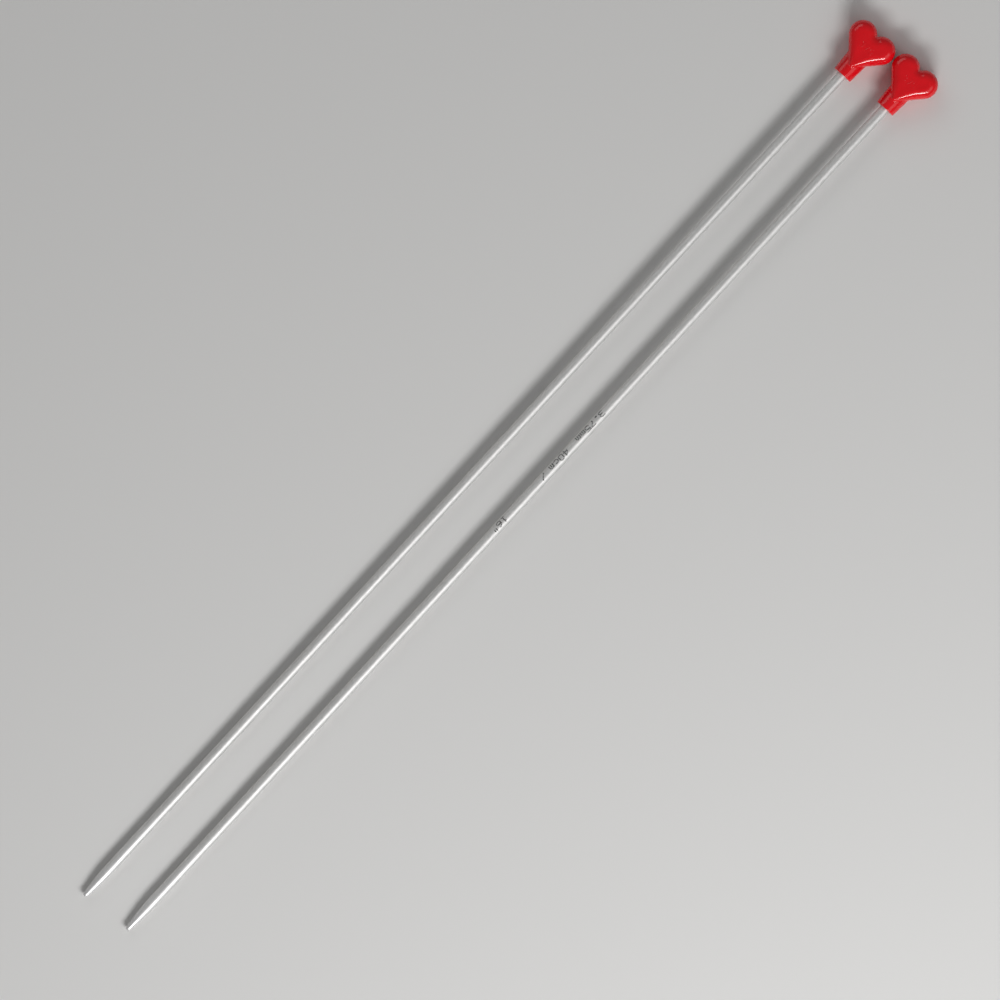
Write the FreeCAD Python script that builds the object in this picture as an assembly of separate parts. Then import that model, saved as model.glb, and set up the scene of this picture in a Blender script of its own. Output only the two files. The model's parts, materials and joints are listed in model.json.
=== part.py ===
import FreeCAD, Part
import math
import os

# A pair of straight, single-pointed knitting needles with heart-shaped stoppers, lying
# side by side on a flat surface. +X runs from the points to the hearts, +Z is up, and
# the first needle lies at +Y. The origin is the middle of the pair's footprint.
# Each needle is modelled with its tip at the origin and its axis along +X, and is then
# tipped onto the surface. All sizes are in millimetres and all angles in degrees.

# Shaft: solid drawn wire with a turned point.
shaft_diameter = 3.75
needle_length = 400.0       # tip to the mouth of the collar
tip_radius = 0.95           # ball at the very end of the point
point_half_angle = 5.8      # between the cone of the point and the axis
shoulder_radius = 90.0      # long arc that blends the cone into the shank
spigot_length = 12.0        # the turned-down end that is pressed into the stopper
spigot_step = 0.225         # its radius is this much less than the shank's
spigot_chamfer = 0.3

# Collar: the round neck of the stopper, with moulding draft.
collar_wall = 1.875         # at the mouth
collar_sink = 0.45          # under the heart's faces, at the end buried in the heart
collar_length = 9.5         # mouth to that buried end
rim_round = 0.3
socket_ring = 0.35          # width of the countersink that shows round the shank
socket_end_gap = 0.5        # air past the end of the spigot

# Heart: two round lobes and two straight sides, with rounded edges on both faces.
heart_thickness = 9.5
lobe_radius = 5.1
lobe_offset = 4.4           # lobe centre to the needle's axis
lobe_height = 15.8          # lobe centre above the mouth
side_start = 3.2            # above the mouth, where the straight sides would meet
heart_point_round = 1.2     # in plan, at the heart's point
cleft_round = 0.5           # in plan, between the lobes
edge_round = 3.6            # along the lobes and the cleft
point_edge_round = 1.1      # at the heart's point, where the edge is tighter

# How the two needles lie.
heart_gap = 0.4             # between the two hearts
stagger = 1.5               # the second needle is this much nearer the heart end

shaft_radius = shaft_diameter / 2
spigot_radius = shaft_radius - spigot_step
spigot_end = needle_length + spigot_length
half_thickness = heart_thickness / 2
along_x = FreeCAD.Vector(1, 0, 0)
along_y = FreeCAD.Vector(0, 1, 0)
along_z = FreeCAD.Vector(0, 0, 1)
origin = FreeCAD.Vector(0, 0, 0)


def point(x, y=0.0):
    """A point in the plane of the profile or outline."""
    return FreeCAD.Vector(x, y, 0)


def arc(centre, start, end):
    """The shorter arc about the centre from start to end."""
    radius = (start - centre).Length
    toward_middle = (start - centre) + (end - centre)
    toward_middle.normalize()
    return Part.Arc(start, centre + toward_middle * radius, end).toShape()


def line(start, end):
    return Part.LineSegment(start, end).toShape()


def turned(edges):
    """The solid of revolution about the needle's axis of a closed half profile."""
    profile = Part.Face(Part.Wire(edges))
    return profile.revolve(origin, along_x, 360)


# Shaft

half_angle = math.radians(point_half_angle)
cone_normal = point(-math.sin(half_angle), math.cos(half_angle))
ball_centre = point(tip_radius)
cone_start = ball_centre + cone_normal * tip_radius
shoulder_level = shaft_radius - shoulder_radius
cone_end_y = shoulder_level + shoulder_radius * math.cos(half_angle)
cone_end_x = cone_start.x + (cone_end_y - cone_start.y) / math.tan(half_angle)
point_length = cone_end_x + shoulder_radius * math.sin(half_angle)


def make_shaft():
    """Ball tip, cone, long blended shoulder, plain shank and the spigot for the stopper."""
    tip = point(0)
    cone_end = point(cone_end_x, cone_end_y)
    shank_start = point(point_length, shaft_radius)
    shank_end = point(needle_length, shaft_radius)
    spigot_start = point(needle_length, spigot_radius)
    chamfer_start = point(spigot_end - spigot_chamfer, spigot_radius)
    chamfer_end = point(spigot_end, spigot_radius - spigot_chamfer)
    return turned([
        arc(ball_centre, tip, cone_start),
        line(cone_start, cone_end),
        arc(point(point_length, shoulder_level), cone_end, shank_start),
        line(shank_start, shank_end),
        line(shank_end, spigot_start),
        line(spigot_start, chamfer_start),
        line(chamfer_start, chamfer_end),
        line(chamfer_end, point(spigot_end)),
        line(point(spigot_end), tip),
    ])


# Heart stopper

lobe_centre = point(needle_length + lobe_height, lobe_offset)
sides_meet = point(needle_length + side_start)
to_lobe = lobe_centre - sides_meet
side_angle = math.atan2(to_lobe.y, to_lobe.x) + math.asin(lobe_radius / to_lobe.Length)
side_normal = point(-math.sin(side_angle), math.cos(side_angle))
point_centre = point(sides_meet.x + heart_point_round / math.sin(side_angle))
heart_point = point(point_centre.x - heart_point_round)
cleft_reach = math.sqrt((lobe_radius + cleft_round) ** 2 - lobe_offset ** 2)
cleft_centre = point(lobe_centre.x + cleft_reach)
heart_width = 2 * (lobe_offset + lobe_radius)


def half_heart_outline():
    """The outline of the half of the heart at +Y: point, side, lobe, cleft and middle."""
    side_first = point_centre + side_normal * heart_point_round
    side_last = lobe_centre + side_normal * lobe_radius
    lobe_top = lobe_centre + point(lobe_radius)
    to_cleft = cleft_centre - lobe_centre
    to_cleft.normalize()
    lobe_last = lobe_centre + to_cleft * lobe_radius
    cleft_bottom = cleft_centre - point(cleft_round)
    return [
        arc(point_centre, heart_point, side_first),
        line(side_first, side_last),
        Part.Arc(side_last, lobe_top, lobe_last).toShape(),
        arc(cleft_centre, lobe_last, cleft_bottom),
        line(cleft_bottom, heart_point),
    ]


def rounding_at(place):
    """The edge rounding at a corner of the outline: tight only round the heart's point."""
    if place.x < point_centre.x:
        return point_edge_round
    return edge_round


def round_face_edges(slab):
    """Rounds the slab's upper and lower outlines, with a radius that grows from the point."""
    document = FreeCAD.newDocument("rounding")
    blank = document.addObject("Part::Feature", "blank")
    blank.Shape = slab
    rounded = document.addObject("Part::Fillet", "rounded")
    rounded.Base = blank
    chosen = []
    for number, edge in enumerate(slab.Edges, 1):
        box = edge.BoundBox
        on_a_face = box.ZLength < 0.01
        on_the_outline = box.YMax > 0.01
        if on_a_face and on_the_outline:
            first = edge.valueAt(edge.FirstParameter)
            last = edge.valueAt(edge.LastParameter)
            chosen.append((number, rounding_at(first), rounding_at(last)))
    rounded.Edges = chosen
    document.recompute()
    solid = rounded.Shape.Solids[0]
    FreeCAD.closeDocument(document.Name)
    return solid


def make_heart():
    """The heart alone: half a slab with rounded edges, joined to its mirror image."""
    slab = Part.Face(Part.Wire(half_heart_outline())).extrude(along_z * heart_thickness)
    slab.translate(along_z * -half_thickness)
    half = round_face_edges(slab)
    return half.fuse(half.mirror(origin, along_y)).removeSplitter()


def make_collar():
    """The round neck, a little wider where it meets the heart, with a rounded rim."""
    mouth_x = needle_length
    buried_x = needle_length + collar_length
    mouth_radius = shaft_radius + collar_wall
    rim_centre = point(mouth_x + rim_round, mouth_radius - rim_round)
    rim_inner = point(mouth_x, mouth_radius - rim_round)
    rim_outer = point(mouth_x + rim_round, mouth_radius)
    buried_outer = point(buried_x, half_thickness - collar_sink)
    return turned([
        line(point(mouth_x), rim_inner),
        arc(rim_centre, rim_inner, rim_outer),
        line(rim_outer, buried_outer),
        line(buried_outer, point(buried_x)),
        line(point(buried_x), point(mouth_x)),
    ])


def make_socket():
    """The blind hole that the spigot is pressed into, with its countersunk mouth."""
    mouth = point(needle_length)
    ring_edge = point(needle_length, shaft_radius + socket_ring)
    bore_start = point(needle_length + socket_ring + spigot_step, spigot_radius)
    bore_end = point(spigot_end + socket_end_gap, spigot_radius)
    bottom = point(bore_end.x)
    return turned([
        line(mouth, ring_edge),
        line(ring_edge, bore_start),
        line(bore_start, bore_end),
        line(bore_end, bottom),
        line(bottom, mouth),
    ])


def make_stopper():
    body = make_heart().fuse(make_collar()).removeSplitter()
    return body.cut(make_socket())


# How a needle lies: on the start of its shank and on the heart's lower face, just past
# the heart's point. The line through both is tangent to the shoulder's arc.

heart_contact = point(heart_point.x + point_edge_round)
run = heart_contact.x - point_length
rise = shoulder_radius - shaft_radius + half_thickness
tilt = math.acos(shoulder_radius / math.hypot(run, rise)) - math.atan2(run, rise)
tilt_degrees = math.degrees(tilt)
lift = half_thickness * math.cos(tilt) - heart_contact.x * math.sin(tilt)


def laid_down(shape, y, x_shift):
    """Tips a shape about the tip so that the heart end rises, and sets it on z = 0."""
    placed = shape.copy()
    placed.rotate(origin, along_y, -tilt_degrees)
    placed.translate(FreeCAD.Vector(x_shift, y, lift))
    return placed


needle_spacing = heart_width + heart_gap
shaft = make_shaft()
stopper = make_stopper()
nodes = {
    "first_needle_shaft": laid_down(shaft, needle_spacing / 2, 0),
    "first_heart_stopper": laid_down(stopper, needle_spacing / 2, 0),
    "second_needle_shaft": laid_down(shaft, -needle_spacing / 2, stagger),
    "second_heart_stopper": laid_down(stopper, -needle_spacing / 2, stagger),
}

footprint = Part.makeCompound(list(nodes.values())).optimalBoundingBox(False, False)
to_middle = FreeCAD.Vector(-footprint.Center.x, -footprint.Center.y, 0)

os.makedirs("parts", exist_ok=True)
for name, shape in nodes.items():
    shape.translate(to_middle)
    shape.exportStep(f"parts/{name}.step")
    print(name, "valid", shape.isValid(), "volume", round(shape.Volume, 1))
print("tilt", round(tilt_degrees, 4), "length of the point", round(point_length, 2))
print("pair", round(footprint.XLength, 2), round(footprint.YLength, 2), round(footprint.ZMax, 2))
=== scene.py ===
# %% [markdown]
# # A pair of knitting needles with heart stoppers
# The object is two straight, single-pointed needles: a pearl-grey aluminium shaft with a
# turned point, and a glossy red heart pressed on the other end so that the stitches stay
# on. Everything here is built round a finished CAD model, which already says how long and
# how thick each piece is and where it lies. Blender's job is the look, so the first thing
# a scene needs is that model. We load it as a fixed frame.

# %% Load the frame
import json
import math
import random

import bpy
import numpy as np
from mathutils import Matrix, Vector


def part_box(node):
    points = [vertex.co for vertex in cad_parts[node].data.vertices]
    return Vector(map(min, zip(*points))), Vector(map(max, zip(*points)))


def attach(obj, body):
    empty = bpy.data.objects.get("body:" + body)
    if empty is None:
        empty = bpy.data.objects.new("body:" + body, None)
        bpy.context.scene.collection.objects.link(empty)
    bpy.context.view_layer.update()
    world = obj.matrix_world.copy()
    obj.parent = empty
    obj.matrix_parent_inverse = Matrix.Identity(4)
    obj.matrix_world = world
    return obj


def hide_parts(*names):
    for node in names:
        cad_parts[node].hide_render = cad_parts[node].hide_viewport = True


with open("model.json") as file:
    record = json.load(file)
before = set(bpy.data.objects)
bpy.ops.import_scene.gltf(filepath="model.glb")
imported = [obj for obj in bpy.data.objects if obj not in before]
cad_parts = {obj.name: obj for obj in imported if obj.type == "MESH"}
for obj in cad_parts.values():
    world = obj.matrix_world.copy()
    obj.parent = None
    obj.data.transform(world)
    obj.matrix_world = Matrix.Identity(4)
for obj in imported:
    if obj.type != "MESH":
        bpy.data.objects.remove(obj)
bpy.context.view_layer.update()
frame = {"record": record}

# %% [markdown]
# ## Where each needle lies
# A needle doesn't lie level: the heart is thicker than the shaft, so the shaft leans down
# to its point by less than half a degree. Building on that slope would be awkward, so each
# needle gets a bench of its own: x runs from the collar's mouth towards the heart, z is
# the heart's face, and the unit is a millimetre. One matrix per needle then carries
# finished vertices from the bench to the table. The CAD record holds the middle, the
# direction and the length of each plain shank, and those three facts fix the matrix.

# %% Benches for the two needles
MM = 0.001
mounts = {mount["name"]: mount for mount in frame["record"]["mounts"]}


def bench_of(word):
    """The facts of one needle: its body, its shank in mm and the matrix to the table."""
    shank = mounts[word + "_shank"]
    to_point = Vector(shank["axis"]).normalized()
    along = -to_point
    sideways = Vector((0, 1, 0))
    upwards = along.cross(sideways)
    mouth = Vector(shank["pos_m"]) + along * shank["dims"]["length_mm"] * MM / 2
    matrix = Matrix.Identity(4)
    for column, direction in enumerate((along, sideways, upwards)):
        for row in range(3):
            matrix[row][column] = direction[row] * MM
    matrix.translation = mouth
    return {
        "word": word,
        "body": word + "_needle",
        "radius": shank["dims"]["r_mm"],
        "shank": shank["dims"]["length_mm"],
        "matrix": matrix,
    }


needles = [bench_of("first"), bench_of("second")]
for needle in needles:
    print(needle["word"], "mouth at", [round(1000 * v, 2) for v in needle["matrix"].translation])

# %% [markdown]
# ## From numbers to a piece
# Every piece below ends the same way: a list of vertices and faces on the bench becomes a
# mesh, is carried to the table, gets smooth shading with its true edges kept sharp, and is
# tied to the CAD body that it moves with. A learner could do each step by hand in the
# viewport. A short function does it the same way every time.

# %% Make a piece from vertices and faces
SHARP_ANGLE = math.radians(35)


def make_piece(name, needle, vertices, faces, material):
    """A smooth mesh object in the table's frame that rides on the needle's body."""
    mesh = bpy.data.meshes.new(name)
    mesh.from_pydata([tuple(v) for v in vertices], [], [tuple(f) for f in faces])
    mesh.transform(needle["matrix"])
    mesh.update()
    mesh.polygons.foreach_set("use_smooth", [True] * len(mesh.polygons))
    mesh.set_sharp_from_angle(angle=SHARP_ANGLE)
    mesh.materials.append(material)
    piece = bpy.data.objects.new(name, mesh)
    bpy.context.scene.collection.objects.link(piece)
    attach(piece, needle["body"])
    print(name, len(mesh.vertices), "vertices", len(mesh.polygons), "faces")
    return piece


# %% [markdown]
# ## Node trees without clutter
# Finishes are node trees: patterns read the place on the surface and steer colour,
# roughness and height. A few helpers keep them short: they start a material, add a node
# with its settings, spread a pattern between two values, make noise, and turn a pattern
# into colour or height. The noise reads Object coordinates, which are metres on the table
# and move with the needle, so a stretch of 3000 gives cells a third of a millimetre wide.

# %% Nodes and patterns
def start_material(name):
    """A new material, its node tree and its shader."""
    material = bpy.data.materials.new(name)
    material.use_nodes = True
    tree = material.node_tree
    return material, tree, tree.nodes["Principled BSDF"]


def add_node(tree, kind, settings=(), **inputs):
    """A node of that kind; settings are its properties, inputs its sockets' values."""
    node = tree.nodes.new(kind)
    for key, value in dict(settings).items():
        setattr(node, key, value)
    for key, value in inputs.items():
        node.inputs[key.replace("_", " ")].default_value = value
    return node


def spread(tree, pattern, low, high, start=0.0, end=1.0):
    """Turns the pattern's values from start to end into values from low to high."""
    node = add_node(tree, "ShaderNodeMapRange",
                    From_Min=start, From_Max=end, To_Min=low, To_Max=high)
    tree.links.new(pattern, node.inputs["Value"])
    return node.outputs["Result"]


def noise_pattern(tree, stretch, detail=2.0):
    """Noise over Object coordinates; stretch says how many cells fit in a metre, per axis."""
    place = add_node(tree, "ShaderNodeTexCoord")
    mapping = add_node(tree, "ShaderNodeMapping", Scale=stretch)
    noise = add_node(tree, "ShaderNodeTexNoise", Scale=1.0, Detail=detail)
    tree.links.new(place.outputs["Object"], mapping.inputs["Vector"])
    tree.links.new(mapping.outputs["Vector"], noise.inputs["Vector"])
    return noise.outputs["Fac"]


print("helpers for nodes and patterns are ready")


# %% From patterns to colour and height
def tint(tree, pattern, dark, light):
    """A colour that follows the pattern from dark to light."""
    mix = add_node(tree, "ShaderNodeMix", {"data_type": "RGBA"})
    mix.inputs["A"].default_value = (*dark, 1)
    mix.inputs["B"].default_value = (*light, 1)
    tree.links.new(pattern, mix.inputs["Factor"])
    return mix.outputs["Result"]


def join_values(tree, operation, one, two):
    """One value made of two, by ADD, SUBTRACT or MULTIPLY."""
    node = add_node(tree, "ShaderNodeMath", {"operation": operation})
    tree.links.new(one, node.inputs[0])
    tree.links.new(two, node.inputs[1])
    return node.outputs[0]


def add_relief(tree, shader, heights):
    """Chains bumps: each is a pattern with the real height in metres that it stands for."""
    normal = None
    for pattern, height in heights:
        bump = add_node(tree, "ShaderNodeBump", Distance=height, Strength=1.0)
        tree.links.new(pattern, bump.inputs["Height"])
        if normal:
            tree.links.new(normal, bump.inputs["Normal"])
        normal = bump.outputs["Normal"]
    tree.links.new(normal, shader.inputs["Normal"])


print("helpers for colour and height are ready")

# %% [markdown]
# ## Finish: pearl-grey aluminium
# The shaft is drawn wire under a thin satin coat. Up close the coat is not even: it has a
# mottle less than a millimetre across, faint lines left along the wire by drawing, and it
# is rubbed smoother towards the point, where yarn slides over it. Its colour is also
# painted lighter there, a painted highlight for the brighter gloss at the point. A single
# grey metal would look like a render. So the mottle and some short streaks steer the
# colour, longer and finer lines steer the roughness, mottle and lines also stand about a
# micron proud, and the rubbed point with its painted highlight is a ramp along x, broken
# up by a broad noise.

# %% The shaft's finish
MOTTLE_CELLS = (1000, 3000, 3000)
CLOUD_CELLS = (120, 400, 400)
LINE_CELLS = (150, 9000, 9000)
STREAK_CELLS = (400, 5000, 5000)
COAT_COLOURS = ((0.61, 0.605, 0.595), (0.79, 0.785, 0.775))
# The lighter grey at the point is a painted highlight, not a change in the metal.
PAINTED_HIGHLIGHT_COLOUR = (0.80, 0.80, 0.80)
COAT_ROUGHNESS = (0.62, 0.54)
RUBBED_SMOOTHER = 0.1
RUBBED_AND_HIGHLIGHT_LENGTH = 45 * MM
MOTTLE_HEIGHT = 0.0008 * MM
LINE_HEIGHT = 0.0012 * MM
point_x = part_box("first_needle_shaft")[0].x


def rubbed_and_highlight_pattern(tree):
    """Strongest at the point of the needle, cloudy, and 0 past the rubbed length; it drives both
    the smoother roughness and the painted highlight.
    """
    cloud = noise_pattern(tree, CLOUD_CELLS)
    place = add_node(tree, "ShaderNodeTexCoord")
    split = add_node(tree, "ShaderNodeSeparateXYZ")
    tree.links.new(place.outputs["Object"], split.inputs["Vector"])
    ramp = spread(tree, split.outputs["X"], 1.0, 0.0, point_x, point_x + RUBBED_AND_HIGHLIGHT_LENGTH)
    return join_values(tree, "MULTIPLY", ramp, spread(tree, cloud, 0.5, 1.0, 0.35, 0.65))


def satin_aluminium():
    """Satin metal with a mottled coat, drawing lines, and a rubbed point with a painted
    highlight.
    """
    material, tree, shader = start_material("satin_pearl_aluminium")
    shader.inputs["Metallic"].default_value = 0.75
    shader.inputs["IOR"].default_value = 1.5
    mottle = noise_pattern(tree, MOTTLE_CELLS, detail=3)
    lines = noise_pattern(tree, LINE_CELLS)
    streaks = noise_pattern(tree, STREAK_CELLS)
    rubbed_and_highlight = rubbed_and_highlight_pattern(tree)
    patches = spread(tree, join_values(tree, "ADD", mottle, streaks), 0, 1, 0.7, 1.3)
    # Towards the point the coat colour is mixed to a lighter grey: a painted highlight.
    painted_highlight = add_node(tree, "ShaderNodeMix", {"data_type": "RGBA"})
    painted_highlight.inputs["B"].default_value = (*PAINTED_HIGHLIGHT_COLOUR, 1)
    tree.links.new(rubbed_and_highlight, painted_highlight.inputs["Factor"])
    tree.links.new(tint(tree, patches, *COAT_COLOURS), painted_highlight.inputs["A"])
    tree.links.new(painted_highlight.outputs["Result"], shader.inputs["Base Color"])
    satin = spread(tree, lines, *COAT_ROUGHNESS, 0.3, 0.7)
    smoother = spread(tree, rubbed_and_highlight, 0, RUBBED_SMOOTHER)
    roughness = join_values(tree, "SUBTRACT", satin, smoother)
    tree.links.new(roughness, shader.inputs["Roughness"])
    add_relief(tree, shader, ((mottle, MOTTLE_HEIGHT), (lines, LINE_HEIGHT)))
    return material


aluminium = satin_aluminium()
print("finish", aluminium.name, len(aluminium.node_tree.nodes), "nodes")

# %% [markdown]
# ## Finish: glossy red plastic
# The stoppers are injection mouldings in a dense pigment red. The gloss is what sells
# them: it shows the lamps as thin hard lines along the rounded edges. Real mouldings are
# never perfect mirrors, so a slow waviness bends those lines a little, handling leaves
# hair-fine scratches that change the roughness, and the pigment drifts very slightly in
# tone. All of it is kept weak, because at this size a strong bump reads as dirt.

# %% The stoppers' finish
PIGMENT_CELLS = (180, 180, 180)
WAVE_CELLS = (420, 420, 420)
SCUFF_CELLS = (900, 7000, 3000)
RED_COLOURS = ((0.74, 0.0026, 0.008), (0.82, 0.0040, 0.011))
RED_ROUGHNESS = (0.09, 0.2)
WAVE_HEIGHT = 0.012 * MM
SCUFF_HEIGHT = 0.0008 * MM


def glossy_red():
    """Glossy plastic, a little wavy and finely scuffed."""
    material, tree, shader = start_material("glossy_red_plastic")
    shader.inputs["IOR"].default_value = 1.49
    pigment = spread(tree, noise_pattern(tree, PIGMENT_CELLS), 0, 1, 0.3, 0.7)
    waves = noise_pattern(tree, WAVE_CELLS, detail=1)
    scuffs = noise_pattern(tree, SCUFF_CELLS, detail=3)
    gloss = spread(tree, scuffs, *RED_ROUGHNESS, 0.45, 0.75)
    tree.links.new(tint(tree, pigment, *RED_COLOURS), shader.inputs["Base Color"])
    tree.links.new(gloss, shader.inputs["Roughness"])
    add_relief(tree, shader, ((waves, WAVE_HEIGHT), (scuffs, SCUFF_HEIGHT)))
    return material


red_plastic = glossy_red()
print("finish", red_plastic.name, len(red_plastic.node_tree.nodes), "nodes")

# %% [markdown]
# ## Finish: printing ink
# The size is printed on the shaft by an ink-jet coder. The ink is a dull grey-black that
# soaks up light beside the satin metal, and it is thinner where a drop spread out.

# %% The ink
INK_CELLS = (6000, 6000, 6000)
INK_COLOURS = ((0.006, 0.006, 0.007), (0.022, 0.022, 0.023))
INK_ROUGHNESS = (0.5, 0.75)


def coder_ink():
    """Dull grey-black ink, paler and duller where it is thin."""
    material, tree, shader = start_material("coder_ink")
    thin = noise_pattern(tree, INK_CELLS)
    colour = tint(tree, spread(tree, thin, 0, 1, 0.3, 0.7), *INK_COLOURS)
    tree.links.new(colour, shader.inputs["Base Color"])
    tree.links.new(spread(tree, thin, *INK_ROUGHNESS), shader.inputs["Roughness"])
    return material


ink = coder_ink()
print("finish", ink.name, len(ink.node_tree.nodes), "nodes")

# %% [markdown]
# ## The shafts
# A needle's shaft is turned work: its outline is the same all the way round, so the
# natural tool is a lathe. Blender has a Screw modifier and a Spin operator for this. Here
# the rings are written directly, because then each stretch gets exactly the rings it
# needs: close together on the ball of the tip and the long shoulder, far apart on the
# plain shank.
# The profile is a ball, a cone, a long arc that blends the cone into the shank, the shank
# itself, and a thinner spigot that is hidden inside the stopper.

# %% The profile of a shaft
TIP_RADIUS = 0.95
POINT_HALF_ANGLE = math.radians(5.8)
SHOULDER_RADIUS = 90.0
SPIGOT_LENGTH = 12.0
SPIGOT_STEP = 0.225
SPIGOT_CHAMFER = 0.3
BALL_RINGS = 14
CONE_RINGS = 8
SHOULDER_RINGS = 20
SHANK_RINGS = 50


def shaft_profile(needle):
    """(x, radius) pairs in mm from the tip to the end of the spigot, on the bench."""
    radius = needle["radius"]
    sine, cosine = math.sin(POINT_HALF_ANGLE), math.cos(POINT_HALF_ANGLE)
    shoulder_x = -needle["shank"]
    shoulder_level = radius - SHOULDER_RADIUS
    cone_end_x = shoulder_x - SHOULDER_RADIUS * sine
    cone_end_radius = shoulder_level + SHOULDER_RADIUS * cosine
    cone_length = (cone_end_radius - TIP_RADIUS * cosine) / math.tan(POINT_HALF_ANGLE)
    ball_x = cone_end_x - cone_length + TIP_RADIUS * sine
    rings = []
    for turn in np.linspace(0, math.pi / 2 - POINT_HALF_ANGLE, BALL_RINGS)[1:]:
        rings.append((ball_x - TIP_RADIUS * math.cos(turn), TIP_RADIUS * math.sin(turn)))
    for share in np.linspace(0, 1, CONE_RINGS)[1:-1]:
        rings.append((cone_end_x - cone_length * (1 - share),
                      cone_end_radius + (TIP_RADIUS * cosine - cone_end_radius) * (1 - share)))
    for turn in np.linspace(POINT_HALF_ANGLE, 0, SHOULDER_RINGS):
        rings.append((shoulder_x - SHOULDER_RADIUS * math.sin(turn),
                      shoulder_level + SHOULDER_RADIUS * math.cos(turn)))
    for share in np.linspace(0, 1, SHANK_RINGS)[1:]:
        rings.append((shoulder_x * (1 - share), radius))
    spigot = radius - SPIGOT_STEP
    rings.append((0.0, spigot))
    rings.append((SPIGOT_LENGTH - SPIGOT_CHAMFER, spigot))
    rings.append((SPIGOT_LENGTH, spigot - SPIGOT_CHAMFER))
    tip_x = ball_x - TIP_RADIUS
    return tip_x, rings


print("rings along a shaft:", len(shaft_profile(needles[0])[1]))

# %% Turn the shafts
ROUND = 96


def lathe(tip_x, rings, end_x):
    """Vertices and faces of a closed turned solid about the x axis."""
    vertices = [(tip_x, 0, 0)]
    for x, radius in rings:
        for step in range(ROUND):
            turn = 2 * math.pi * step / ROUND
            vertices.append((x, radius * math.sin(turn), radius * math.cos(turn)))
    vertices.append((end_x, 0, 0))
    last = len(vertices) - 1
    faces = []
    for step in range(ROUND):
        beside = (step + 1) % ROUND
        faces.append((0, 1 + step, 1 + beside))
        for ring in range(len(rings) - 1):
            near = 1 + ring * ROUND
            far = near + ROUND
            faces.append((near + step, far + step, far + beside, near + beside))
        near = last - ROUND
        faces.append((near + beside, near + step, last))
    return vertices, faces


for needle in needles:
    tip_x, rings = shaft_profile(needle)
    needle["tip_x"] = tip_x
    vertices, faces = lathe(tip_x, rings, SPIGOT_LENGTH)
    name = needle["word"] + "_satin_shaft"
    shaft = make_piece(name, needle, vertices, faces, aluminium)
    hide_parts(needle["word"] + "_needle_shaft")
    print(name, "tip to mouth", round(-tip_x, 2), "mm")

# %% [markdown]
# ## The shape of a heart stopper, as distances
# The stopper is a flat heart with rounded edges, a round collar that runs into it, a soft
# fillet where they meet and a hole for the shaft. Boxes and booleans would give hard
# seams, and a subdivided cage would pinch at the cleft. A moulded shape like this is
# easier to say as a distance: for any place in space, how far is it from the surface,
# and is it inside (negative) or outside. Distances of simple shapes blend into each other
# with no seam. We start with the flat outline: two lobes, two straight sides, a small
# round at the point and another in the cleft.

# %% The heart's outline
LOBE_RADIUS = 5.1
LOBE_CENTRE = np.array((15.8, 4.4))
SIDES_MEET = np.array((3.2, 0.0))
POINT_ROUND = 1.2
CLEFT_ROUND = 0.5

to_lobe = LOBE_CENTRE - SIDES_MEET
side_angle = math.atan2(to_lobe[1], to_lobe[0]) + math.asin(LOBE_RADIUS / np.hypot(*to_lobe))
side_normal = np.array((-math.sin(side_angle), math.cos(side_angle)))
normal_angle = side_angle + math.pi / 2
point_centre = SIDES_MEET + np.array((POINT_ROUND / math.sin(side_angle), 0.0))
cleft_x = LOBE_CENTRE[0] + math.sqrt((LOBE_RADIUS + CLEFT_ROUND) ** 2 - LOBE_CENTRE[1] ** 2)
cleft_centre = np.array((cleft_x, 0.0))
cleft_angle = math.atan2(-LOBE_CENTRE[1], cleft_x - LOBE_CENTRE[0])
side_first = point_centre + side_normal * POINT_ROUND
side_last = LOBE_CENTRE + side_normal * LOBE_RADIUS
side = side_last - side_first
print("the sides lean", round(math.degrees(side_angle), 2), "degrees from the needle")
print("the cleft's bottom is", round(cleft_x - CLEFT_ROUND, 2), "mm from the collar's mouth")


# %% The distance to the outline
def side_share(place):
    """How far along the straight side a place is, from 0 at the point to 1 at the lobe."""
    return np.clip((place - side_first) @ side / (side @ side), 0, 1)


def from_arc(place, centre, radius, start, end):
    """Unsigned distance to the arc of a circle that runs anticlockwise from start to end."""
    away = place - centre
    angle = np.arctan2(away[:, 1], away[:, 0])
    within = (angle - start) % (2 * math.pi) <= (end - start) % (2 * math.pi)
    return np.where(within, np.abs(np.hypot(*away.T) - radius), np.inf)


def right_of(place, start, end):
    """Which places lie to the right of the line from start to end."""
    run = end - start
    away = place - start
    return run[0] * away[:, 1] - run[1] * away[:, 0] <= 0


def outline_distance(x, y):
    """Signed distance in mm from the heart's outline, negative inside."""
    place = np.stack((x, np.abs(y)), axis=1)
    lobe = from_arc(place, LOBE_CENTRE, LOBE_RADIUS, cleft_angle, normal_angle)
    nose = from_arc(place, point_centre, POINT_ROUND, normal_angle, math.pi)
    cleft = from_arc(place, cleft_centre, CLEFT_ROUND, cleft_angle + math.pi, math.pi)
    straight = np.hypot(*(place - side_first - side_share(place)[:, None] * side).T)
    nearest = np.minimum(np.minimum(lobe, nose), np.minimum(cleft, straight))
    inside = np.ones(len(place), dtype=bool)
    corners = (point_centre, side_first, side_last, LOBE_CENTRE, cleft_centre)
    for start, end in zip(corners, corners[1:] + corners[:1]):
        inside &= right_of(place, start, end)
    inside &= np.hypot(*(place - cleft_centre).T) > CLEFT_ROUND
    inside |= np.hypot(*(place - LOBE_CENTRE).T) < LOBE_RADIUS
    inside |= np.hypot(*(place - point_centre).T) < POINT_ROUND
    return np.where(inside, -nearest, nearest)


lobe_depth = -float(outline_distance(*LOBE_CENTRE[:, None])[0])
print("from a lobe's middle to the outline, mm:", round(lobe_depth, 2))

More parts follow.
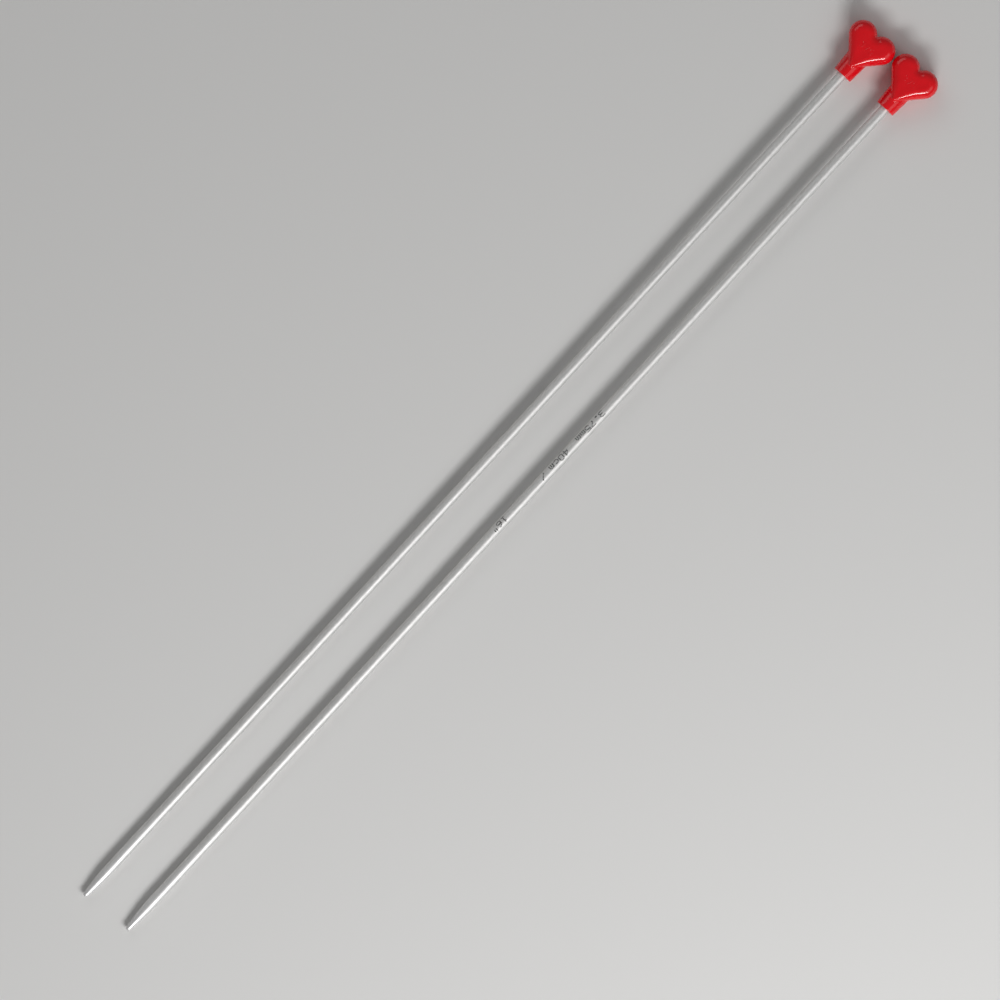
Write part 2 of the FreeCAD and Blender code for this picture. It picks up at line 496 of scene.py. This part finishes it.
# %% [markdown]
# ## From outline to solid
# The heart is the outline given a thickness, with its edges rolled over. The roll is
# large round the lobes and along most of each side, and tightens only near the point. The
# broad faces are very slightly sunk, because thick plastic shrinks as it cools. The
# collar is a cone so slight that it reads as a cylinder, with a small round on its rim.
# Where heart and collar meet, a smooth minimum gives the little fillet that every mould
# has, and the two mould halves leave a hairline bead where they met, half way through the
# thickness. The hole for the shaft is then taken away, with a countersunk mouth. Two
# small rules do all the joining: one rounds the corner where two solids overlap, and one
# blends two solids into each other.

# %% Rules that join distances
def rounded_corner(one, two, radius):
    """The distance to where two solids overlap, with the corner rounded."""
    out_one = np.maximum(one + radius, 0)
    out_two = np.maximum(two + radius, 0)
    return np.hypot(out_one, out_two) + np.minimum(np.maximum(one, two) + radius, 0) - radius


def blend_together(one, two, width):
    """The distance to either of two solids, with a fillet of that width between them."""
    close = np.maximum(width - np.abs(one - two), 0) / width
    return np.minimum(one, two) - close * close * width / 4


print("two walls 1 mm away, blended over 2 mm:", float(blend_together(1.0, 1.0, 2.0)))

# %% The stopper as one distance
HALF_THICKNESS = 4.75
EDGE_ROUND = 3.6
POINT_EDGE_ROUND = 1.1
ROUND_REACH = 0.75
ROUND_GROWTH = 1.5
SINK = 0.05
SINK_REACH = 2.5
COLLAR_LENGTH = 9.5
MOUTH_RADIUS = 3.75
BURIED_RADIUS = 4.3
RIM_ROUND = 0.3
CREASE_FILLET = 0.3
BEAD_HEIGHT = 0.03
BEAD_WIDTH = 0.15
SPIGOT_RADIUS = 1.65
RING_RADIUS = 2.225
SOCKET_DEPTH = 12.5
MOUTH_SOFTENING = 0.12


def heart_distance(x, y, z):
    """The distance to the heart alone, with rolled edges and sunk faces."""
    flat = outline_distance(x, y)
    share = side_share(np.stack((x, np.abs(y)), axis=1))
    still_to_grow = np.maximum(1 - share / ROUND_REACH, 0)
    edge = EDGE_ROUND - (EDGE_ROUND - POINT_EDGE_ROUND) * still_to_grow ** ROUND_GROWTH
    deep = np.clip((-flat - edge) / SINK_REACH, 0, 1)
    half = HALF_THICKNESS - SINK * deep * deep * (3 - 2 * deep)
    return rounded_corner(flat, np.abs(z) - half, edge)


def collar_distance(x, around):
    """The distance to the collar; around is how far a place is from the axis."""
    slope = (BURIED_RADIUS - MOUTH_RADIUS) / (COLLAR_LENGTH - RIM_ROUND)
    wall = around - MOUTH_RADIUS - slope * (x - RIM_ROUND)
    return np.maximum(rounded_corner(wall, -x, RIM_ROUND), x - COLLAR_LENGTH)


def socket_distance(x, around):
    """The distance to the hole for the shaft, with its countersunk mouth."""
    countersink = (around + x - RING_RADIUS) * math.sqrt(0.5)
    return np.maximum(np.minimum(around - SPIGOT_RADIUS, countersink), x - SOCKET_DEPTH)


def stopper_distance(place):
    """Signed distance in mm from the whole stopper, negative inside the plastic."""
    x, y, z = place.T
    around = np.hypot(y, z)
    body = blend_together(heart_distance(x, y, z), collar_distance(x, around), CREASE_FILLET)
    body = body - BEAD_HEIGHT * np.exp(-((z / BEAD_WIDTH) ** 2))
    return -blend_together(-body, socket_distance(x, around), MOUTH_SOFTENING)


level_with_the_rim = np.array([[*LOBE_CENTRE, HALF_THICKNESS]])
sunk = float(stopper_distance(level_with_the_rim)[0])
print("the face over a lobe's middle is sunk by", round(sunk, 3), "mm")

# %% [markdown]
# ## A net over the shape
# A distance is not yet a mesh. Sculptors would voxel-remesh, and this is the same idea
# with the ends tidied up: fill the space with small cells, put one vertex in each cell
# that the surface passes through, join neighbours into quads, and then slide every vertex
# exactly on to the surface, using the distance itself to say how far and which way. A few
# rounds of evening out keep the quads square. The slope of the distance is the true
# normal, so we hand it to the mesh, and the gloss runs over the faces without a ripple.

# %% Slide vertices on to a surface
NUDGE = 0.002
LEAST_STEEPNESS = 0.1


def slope_of(distance, vertices):
    """Which way and how fast the distance grows at each vertex, from small nudges."""
    slope = np.zeros_like(vertices)
    for axis in range(3):
        nudge = np.zeros(3)
        nudge[axis] = NUDGE
        slope[:, axis] = distance(vertices + nudge) - distance(vertices - nudge)
    return slope / (2 * NUDGE)


def settle(distance, vertices, times):
    """Slides the vertices on to the surface where the distance is nought."""
    for _ in range(times):
        slope = slope_of(distance, vertices)
        steepness = np.maximum((slope * slope).sum(axis=1), LEAST_STEEPNESS)
        vertices = vertices - (distance(vertices) / steepness)[:, None] * slope
    return vertices


def even_out(vertices, quads):
    """Moves each vertex half way to the middle of the ones that it is joined to."""
    total = np.zeros_like(vertices)
    count = np.zeros(len(vertices))
    for corner in range(4):
        for other in (quads[:, (corner + 1) % 4], quads[:, (corner + 3) % 4]):
            np.add.at(total, quads[:, corner], vertices[other])
            np.add.at(count, quads[:, corner], 1)
    return (vertices + total / count[:, None]) / 2


def ball_distance(place):
    """A ball of 1 mm radius, to try the helpers on."""
    return np.linalg.norm(place, axis=1) - 1


settled = settle(ball_distance, np.array([[2.0, 1.0, 0.0]]), 3)
print("a stray vertex settles on the ball at", settled[0].round(3).tolist())


# %% Wrap a distance in quads
def wrap(distance, low, high, cell, rounds=4):
    """Vertices, quads and normals of the surface, on a grid of cells in mm."""
    # Which corners of the grid are inside, and which cells the surface passes through.
    axes = [np.arange(start, end + cell, cell) for start, end in zip(low, high)]
    spots = np.stack(np.meshgrid(*axes, indexing="ij"), axis=-1)
    inside = distance(spots.reshape(-1, 3)).reshape(spots.shape[:3]) < 0
    filled = np.zeros([side - 1 for side in inside.shape], dtype=int)
    for corner in np.ndindex(2, 2, 2):
        cut = tuple(slice(c, side - 1 + c) for c, side in zip(corner, inside.shape))
        filled += inside[cut]
    surface = (filled > 0) & (filled < 8)
    number = np.full(surface.shape, -1)
    number[surface] = np.arange(surface.sum())
    vertices = np.array(low) + (np.argwhere(surface) + 0.5) * cell
    # Each edge of the grid that crosses the surface joins the four cells round it.
    quads = []
    for axis in range(3):
        one, two = (axis + 1) % 3, (axis + 2) % 3
        ahead = np.roll(inside, -1, axis=axis)
        crossing = np.argwhere(inside != ahead)
        leaving = inside[tuple(crossing.T)]
        ring = []
        for back_one, back_two in ((1, 1), (0, 1), (0, 0), (1, 0)):
            cells = crossing.copy()
            cells[:, one] -= back_one
            cells[:, two] -= back_two
            ring.append(number[tuple(cells.T)])
        ring = np.stack(ring, axis=1)
        ring[~leaving] = ring[~leaving, ::-1]
        quads.append(ring)
    quads = np.concatenate(quads)
    # On to the surface, evened out a few times, and on to the surface again.
    vertices = settle(distance, vertices, 3)
    for _ in range(rounds):
        vertices = settle(distance, even_out(vertices, quads), 1)
    vertices = settle(distance, vertices, 3)
    normals = slope_of(distance, vertices)
    normals /= np.linalg.norm(normals, axis=1)[:, None]
    return vertices, quads, normals


ball_vertices, ball_quads = wrap(ball_distance, (-1.3,) * 3, (1.3,) * 3, 0.2)[:2]
print("tried on a ball:", len(ball_vertices), "vertices", len(ball_quads), "quads")

# %% Make both stoppers
CELL = 0.14
NET_TOP = 5.2
NET_SIDE = 9.9
NET_END = 21.4


def give_normals(piece, needle, normals):
    """Shades the piece with the true normals of the shape, turned to the table's frame."""
    turn = np.array(needle["matrix"].to_3x3().normalized())
    piece.data.normals_split_custom_set_from_vertices([tuple(n) for n in normals @ turn.T])


planes = round(NET_TOP / CELL)
net_low = (-3 * CELL, -NET_SIDE, -(planes + 0.5) * CELL)
net_high = (NET_END, NET_SIDE, (planes - 0.5) * CELL)
heart_vertices, heart_quads, heart_normals = wrap(stopper_distance, net_low, net_high, CELL)
error = np.abs(stopper_distance(heart_vertices)).max()
print("furthest from the true shape, mm:", float(error))
for needle in needles:
    name = needle["word"] + "_moulded_heart"
    heart = make_piece(name, needle, heart_vertices, heart_quads, red_plastic)
    give_normals(heart, needle, heart_normals)
    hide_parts(needle["word"] + "_heart_stopper")

# %% [markdown]
# ## Raised numerals
# The needle's size stands on the heart's upper face in low, round-backed strokes. Blender
# text with a bevel could do it, but its fonts are too sharp for a mould that was cut with
# a ball-nosed tool. So each numeral is a path for that tool: straight runs and arcs. The
# distance to the path, less the radius of the tool, is the stroke, and the net that
# wrapped the heart wraps it too. The strokes are sunk so that only their backs show.

# %% The path of the tool
NUMERAL_HEIGHT = 2.2
NUMERAL_MIDDLE = 12.8
BOW_POINTS = 12


def bow(middle, radius, start, end):
    """Points along an arc; start and end are angles in degrees."""
    points = []
    for angle in np.linspace(start, end, BOW_POINTS):
        turn = math.radians(angle)
        points.append((middle[0] + radius * math.cos(turn), middle[1] + radius * math.sin(turn)))
    return points


numeral_paths = {
    "3": bow((0.58, 1.64), 0.56, 150, -90)[:-1] + bow((0.58, 0.54), 0.56, 90, -150),
    ".": [(0.0, 0.0), (0.001, 0.0)],
    "7": [(0.02, NUMERAL_HEIGHT), (1.14, NUMERAL_HEIGHT), (0.42, 0.0)],
    "5": [(1.06, NUMERAL_HEIGHT), (0.2, NUMERAL_HEIGHT), (0.1, 1.2)]
    + bow((0.56, 0.68), 0.66, 128, -145),
}
numeral_starts = (("3", -2.62), (".", -0.92), ("7", -0.42), ("5", 1.42))
stroke_ends = []
for numeral, start in numeral_starts:
    lowest = NUMERAL_MIDDLE - NUMERAL_HEIGHT / 2
    path = [(lowest + up, -(start + right)) for right, up in numeral_paths[numeral]]
    stroke_ends += list(zip(path[:-1], path[1:]))
stroke_ends = np.array(stroke_ends)
print("straight runs for the tool:", len(stroke_ends))

# %% Cut the numerals
STROKE_RADIUS = 0.2
STROKE_PROUD = 0.09
STROKE_REACH = (1.5, 3.1, 0.3)
NUMERAL_CELL = 0.06
NUMERAL_ROUNDS = 2
stroke_level = HALF_THICKNESS - SINK + STROKE_PROUD - STROKE_RADIUS


def strokes_distance(place):
    """Distance to the nearest stroke, as if each were a round-ended rod."""
    nearest = np.full(len(place), np.inf)
    for start, end in stroke_ends:
        run = end - start
        away = place[:, :2] - start
        share = np.clip(away @ run / (run @ run), 0, 1)
        beside = np.hypot(*(away - share[:, None] * run).T)
        nearest = np.minimum(nearest, np.hypot(beside, place[:, 2] - stroke_level))
    return nearest - STROKE_RADIUS


stroke_middle = (NUMERAL_MIDDLE, 0.0, stroke_level)
stroke_low = [middle - reach for middle, reach in zip(stroke_middle, STROKE_REACH)]
stroke_high = [middle + reach for middle, reach in zip(stroke_middle, STROKE_REACH)]
stroke_vertices, stroke_quads, stroke_normals = wrap(
    strokes_distance, stroke_low, stroke_high, NUMERAL_CELL, NUMERAL_ROUNDS)
for needle in needles:
    name = needle["word"] + "_size_numerals"
    strokes = make_piece(name, needle, stroke_vertices, stroke_quads, red_plastic)
    give_normals(strokes, needle, stroke_normals)

# %% [markdown]
# ## Printed size
# The shaft carries its size in dot-matrix print: a coder fires drops of ink as the wire
# goes past, so each character is a grid of five by seven round dots that never quite line
# up. An image on the surface would be the usual way to print, but it goes soft as soon as
# the camera comes close. Here every drop is a thin disc of its own, bent round the wire and
# a hundredth of a millimetre proud of it. The drops' sizes and places wander a little. The
# first needle lies with its print turned under.

# %% The coder's characters
COLUMN_PITCH = 0.41
ROW_PITCH = 0.34
CHARACTER_PITCH = 2.4
MIDDLE_ROW = 3
# Each mark, and how far from the tip its first character starts.
MARKS = (("3.75mm", 251.9), ("40cm", 233.1), ("/", 221.3), ('16"', 200.5))
coder_characters = {
    "0": "01110 10001 10001 10001 10001 10001 01110",
    "1": "00100 01100 00100 00100 00100 00100 01110",
    "3": "11110 00001 00001 01110 00001 00001 11110",
    "4": "00010 00110 01010 10010 11111 00010 00010",
    "5": "11111 10000 11110 00001 00001 10001 01110",
    "6": "00110 01000 10000 11110 10001 10001 01110",
    "7": "11111 00001 00010 00100 01000 01000 01000",
    ".": "00000 00000 00000 00000 00000 01100 01100",
    "/": "00001 00001 00010 00100 01000 10000 10000",
    "m": "00000 00000 11010 10101 10101 10101 10101",
    "c": "00000 00000 01110 10000 10000 10001 01110",
    '"': "01010 01010 01010 00000 00000 00000 00000",
}


def drops_of(text, start):
    """Where a mark's drops fall: mm from the tip, and mm round the wire from its middle."""
    for place, character in enumerate(text):
        for row, dots in enumerate(coder_characters[character].split()):
            for column, dot in enumerate(dots):
                if dot == "1":
                    from_tip = start - place * CHARACTER_PITCH - column * COLUMN_PITCH
                    yield from_tip, (MIDDLE_ROW - row) * ROW_PITCH


for text, start in MARKS:
    print(text, "takes", len(list(drops_of(text, start))), "drops")

# %% Print the size
DROP_RADIUS = 0.205
DROP_SIDES = 12
DROP_PROUD = 0.012
SIZE_SPREAD = (0.88, 1.08)
PROUD_SPREAD = (0.7, 1.2)
WANDER = 0.02
FIRST_SEED = 7
# How far the middle of the print is turned round the wire from its top.
PRINT_TURN = {"first": math.radians(205), "second": math.radians(-16)}


def print_drops(needle, chance):
    """One thin disc for each drop, bent round the shaft."""
    radius = needle["radius"]
    vertices, faces = [], []
    for text, start in MARKS:
        for from_tip, around in drops_of(text, start):
            size = DROP_RADIUS * chance.uniform(*SIZE_SPREAD)
            proud = DROP_PROUD * chance.uniform(*PROUD_SPREAD)
            x = needle["tip_x"] + from_tip + chance.gauss(0, WANDER)
            middle = PRINT_TURN[needle["word"]] + (around + chance.gauss(0, WANDER)) / radius
            first = len(vertices)
            for level in (radius + proud, radius - DROP_PROUD):
                for step in range(DROP_SIDES):
                    turn = 2 * math.pi * step / DROP_SIDES
                    angle = middle + size * math.sin(turn) / radius
                    spot_x = x + size * math.cos(turn)
                    vertices.append((spot_x, -level * math.sin(angle), level * math.cos(angle)))
            top = [first + step for step in range(DROP_SIDES)]
            bottom = [first + DROP_SIDES + step for step in range(DROP_SIDES)]
            faces.append(top[::-1])
            faces.append(bottom)
            for step in range(DROP_SIDES):
                beside = (step + 1) % DROP_SIDES
                faces.append((top[step], top[beside], bottom[beside], bottom[step]))
    return vertices, faces


for seed, needle in enumerate(needles, FIRST_SEED):
    vertices, faces = print_drops(needle, random.Random(seed))
    make_piece(needle["word"] + "_printed_size", needle, vertices, faces, ink)

# %% [markdown]
# ## Table and world
# The pair lies on a plain pale table, one flat square much larger than the needles. It is
# matt, because a shiny table would mirror the needles and draw the eye away from them. The
# world is an even grey that fills the shadows. A sky or a picture of a studio would also
# light the pair, but its bright spots would show in the glossy hearts.

# %% Table and world
TABLE_HALF = 4.0
TABLE_COLOUR = (0.70, 0.695, 0.685)
TABLE_ROUGHNESS = 0.75
WORLD_GREY = 0.2
scene = bpy.context.scene


def plain_table():
    """An even, matt, pale surface."""
    material, tree, shader = start_material("plain_pale_table")
    shader.inputs["Base Color"].default_value = (*TABLE_COLOUR, 1)
    shader.inputs["Roughness"].default_value = TABLE_ROUGHNESS
    return material


table_mesh = bpy.data.meshes.new("table")
corner_signs = ((-1, -1), (1, -1), (1, 1), (-1, 1))
corners = [(TABLE_HALF * x, TABLE_HALF * y, 0) for x, y in corner_signs]
table_mesh.from_pydata(corners, [], [(0, 1, 2, 3)])
table_mesh.materials.append(plain_table())
table = bpy.data.objects.new("table", table_mesh)
scene.collection.objects.link(table)

world = bpy.data.worlds.new("grey_studio")
world.use_nodes = True
background = world.node_tree.nodes["Background"]
background.inputs["Color"].default_value = (1, 1, 1, 1)
background.inputs["Strength"].default_value = WORLD_GREY
scene.world = world
scene.view_settings.view_transform = "Standard"
print("table", 2 * TABLE_HALF, "m wide")

# %% [markdown]
# ## Light
# Light comes low from beside the points as one soft box. It is what draws the thin bright
# line along the rounded edge of each heart, and as it stands nearer the points, the
# shafts brighten towards them. Right above the hearts it has to stay rather dark: a glossy
# flat face is a mirror, and a bright ceiling would turn the red milky. So the other light
# comes low as well: a weak panel beside the key, and one across the table that lifts the
# shaded side of each shaft off its own shadow. Each light is given by its brightness per
# area, so that it can be resized without changing how bright its reflection looks.

# %% Lights
hearts = (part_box("first_heart_stopper")[0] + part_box("second_heart_stopper")[1]) / 2


def soft_box(name, azimuth, elevation, distance, width, height, radiance):
    """An area light seen from the hearts at that azimuth and elevation, facing them."""
    round_about = math.radians(azimuth)
    rise = math.radians(elevation)
    level = math.cos(rise)
    away = Vector((math.cos(round_about) * level, math.sin(round_about) * level, math.sin(rise)))
    lamp = bpy.data.lights.new(name, "AREA")
    lamp.shape = "RECTANGLE"
    lamp.size = width
    lamp.size_y = height
    lamp.energy = radiance * math.pi * width * height
    light = bpy.data.objects.new(name, lamp)
    light.location = hearts + away * distance
    light.rotation_euler = away.to_track_quat("Z", "Y").to_euler()
    scene.collection.objects.link(light)
    return light


lights = [
    soft_box("key_soft_box", azimuth=231, elevation=36, distance=1.15,
             width=0.62, height=0.18, radiance=21),
    soft_box("side_panel", azimuth=264, elevation=42, distance=1.8,
             width=1.6, height=1.0, radiance=1.0),
    soft_box("back_panel", azimuth=75, elevation=35, distance=1.6,
             width=1.6, height=0.8, radiance=1.0),
]
for light in lights:
    print(light.name, round(light.data.energy, 2), "W")

# %% [markdown]
# ## Camera
# The camera looks straight down, turned so that the needles run from the lower left to
# the upper right. It stands three metres up with a long lens. A camera close by would see
# the hearts a little from the side and make the near parts larger, and from far away both
# ends of a long thin thing look alike.

# %% Camera
VIEW_TURN = math.radians(47.29)
VIEW_WIDTH = 0.35833
VIEW_MIDDLE = (-0.00593, -0.00349)
VIEW_HEIGHT = 3.0
SENSOR_WIDTH = 36
lens = bpy.data.cameras.new("camera")
lens.sensor_width = SENSOR_WIDTH
lens.lens = lens.sensor_width * VIEW_HEIGHT / VIEW_WIDTH
camera = bpy.data.objects.new("camera", lens)
camera.location = (*VIEW_MIDDLE, VIEW_HEIGHT)
camera.rotation_euler = (0, 0, -VIEW_TURN)
scene.collection.objects.link(camera)
scene.camera = camera
print("lens", round(lens.lens), "mm at", VIEW_HEIGHT, "m")
